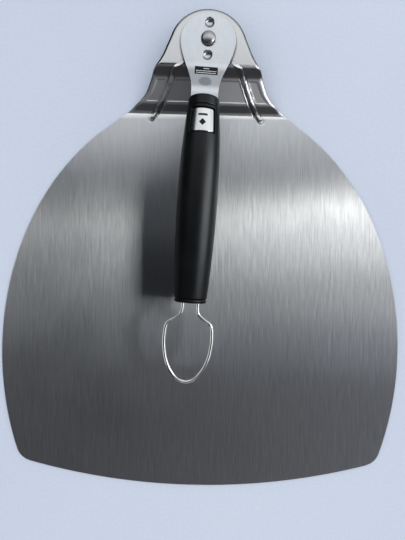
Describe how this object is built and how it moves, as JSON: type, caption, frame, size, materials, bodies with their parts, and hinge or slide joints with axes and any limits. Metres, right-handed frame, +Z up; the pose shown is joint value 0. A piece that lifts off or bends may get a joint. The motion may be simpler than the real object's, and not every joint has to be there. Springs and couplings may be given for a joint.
{
  "type": "pizza peel",
  "caption": "Pizza peel with a wide pear-shaped steel blade, a stepped ribbed neck, a riveted handle that swivels back over the blade, a black grip and a wire hanging loop.",
  "frame": {"origin": "on the blade's underside, in the middle of the line where the blade is widest", "axes": "+Z up from the blade's underside; +Y from the blade's front edge towards the neck and the swivel axis; +X to the right seen from above with the neck away from the viewer"},
  "size_m": [0.34, 0.3957, 0.0469],
  "materials": {
    "brushed_blade": "long straight brush marks along the blade, satin",
    "satin_plate": "fine satin, nearly polished",
    "polished_steel": "polished stainless",
    "badge_chrome": "mirror bright",
    "plain_steel": "plain stamped steel",
    "black_nylon": "satin moulded, fine texture",
    "grey_nylon": "matt moulded",
    "white_nylon": "matt moulded"
  },
  "bodies": {
    "blade_body": {"blade": "brushed_blade", "pivot_rivet": "polished_steel", "slip_washer": "white_nylon", "backing_washer": "plain_steel", "spring_washer": "plain_steel"},
    "handle_body": {"top_plate": "satin_plate", "tang_plate": "satin_plate", "grip_collar": "black_nylon", "grip_shell": "black_nylon", "badge": "badge_chrome", "grip_screw": "plain_steel", "tang_support": "grey_nylon", "end_cap": "black_nylon", "hang_loop": "polished_steel"}
  },
  "joints": [
    {"name": "handle_swivel", "type": "hinge", "parent": "blade_body", "child": "handle_body", "pos_m": [0, 0.2516, 0.026], "axis": [0, 0, 1], "continuous": true}
  ]
}
